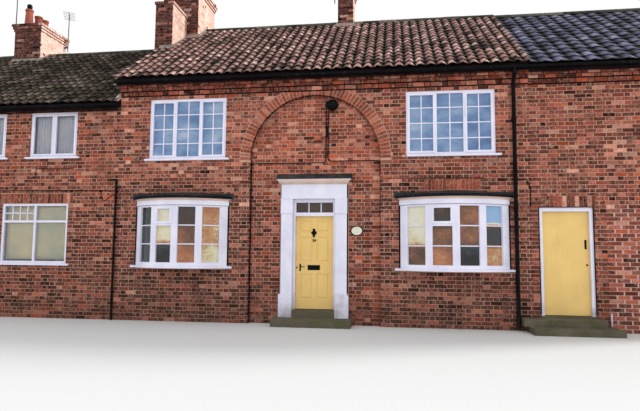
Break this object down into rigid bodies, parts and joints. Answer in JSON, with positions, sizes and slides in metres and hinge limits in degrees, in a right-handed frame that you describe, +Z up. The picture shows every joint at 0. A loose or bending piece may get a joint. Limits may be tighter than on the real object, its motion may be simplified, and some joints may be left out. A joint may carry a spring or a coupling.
{
  "type": "terraced house row",
  "caption": "Row of two-storey brick houses with a blind arch over a pilastered yellow front door, curved bow windows with lead roofs, tiled roofs and chimneys; two doors open",
  "frame": {"origin": "on the ground, under the middle of the arch, in the plane of the front brick face", "axes": "+X along the front, to the right; +Y into the houses; +Z up"},
  "size_m": [19.69, 7.984, 9.67],
  "materials": {
    "front_brick": "weathered red brick with lime mortar",
    "floor_boards": "bare boards",
    "old_roof_tiles": "dark weathered tiles with lichen",
    "pantiles": "weathered pinkish red pantiles",
    "blue_grey_tiles": "blue-grey tiles",
    "ridge_clay": "weathered clay ridge tiles",
    "chimney_brick": "sooty brick",
    "pot_clay": "terracotta",
    "aerial_metal": "dull grey",
    "black_plastic": "black",
    "white_joinery": "white gloss paint",
    "lead_sheet": "dull lead grey",
    "window_glass": "clear",
    "step_stone": "worn stone",
    "black_iron": "black",
    "hinge_steel": "plain",
    "yellow_paint": "yellow gloss paint"
  },
  "bodies": {
    "houses": {"front_wall_left": "front_brick", "front_wall_right": "front_brick", "recess_wall_left": "front_brick", "recess_wall_right": "front_brick", "recess_wall_over_door": "front_brick", "arch_front_leaf": "front_brick", "left_house_front_wall": "front_brick", "side_door_pier": "front_brick", "right_house_front_wall": "front_brick", "wall_over_side_door": "front_brick", "party_wall_left_end": "front_brick", "party_wall_left_main": "front_brick", "party_wall_main_right": "front_brick", "party_wall_right_end": "front_brick", "rear_wall_left_house": "front_brick", "rear_wall_main_house": "front_brick", "rear_wall_right_house": "front_brick", "ground_floors": "floor_boards", "first_floors": "floor_boards", "left_roof_front": "old_roof_tiles", "left_roof_rear": "old_roof_tiles", "main_roof_front": "pantiles", "main_roof_rear": "pantiles", "right_roof_front": "blue_grey_tiles", "right_roof_rear": "blue_grey_tiles", "ridge_tiles": "ridge_clay", "eaves_courses": "front_brick", "chimney_left_house": "chimney_brick", "chimney_party_wall_front": "chimney_brick", "chimney_party_wall_back": "chimney_brick", "chimney_main_house": "chimney_brick", "chimney_pots": "pot_clay", "tv_aerials": "aerial_metal", "gutters": "black_plastic", "downpipes": "black_plastic", "upper_window_frames": "white_joinery", "bow_window_frames": "white_joinery", "bow_window_cornices": "white_joinery", "lead_roofs": "lead_sheet", "window_sills": "white_joinery", "neighbour_window_frames": "white_joinery", "rear_window_frames": "white_joinery", "upper_glass": "window_glass", "lower_glass": "window_glass", "bow_glass": "window_glass", "door_surround": "white_joinery", "front_door_frame": "white_joinery", "side_door_frame": "white_joinery", "door_steps": "step_stone", "fixed_doors": "white_joinery", "wall_lamp": "black_iron", "jamb_hinges": "hinge_steel"},
    "front_door_leaf": {"front_door": "yellow_paint", "front_door_furniture": "black_iron", "front_door_hinges": "hinge_steel"},
    "side_door_leaf": {"side_door": "yellow_paint", "side_door_hinges": "hinge_steel"}
  },
  "joints": [
    {"name": "front_door_hinge", "type": "hinge", "parent": "houses", "child": "front_door_leaf", "pos_m": [0.4205, 0.258, 1.3], "axis": [0, 0, -1], "range_deg": [0, 90]},
    {"name": "side_door_hinge", "type": "hinge", "parent": "houses", "child": "side_door_leaf", "pos_m": [4.5935, 0.148, 1.3], "axis": [0, 0, 1], "range_deg": [0, 90]}
  ]
}
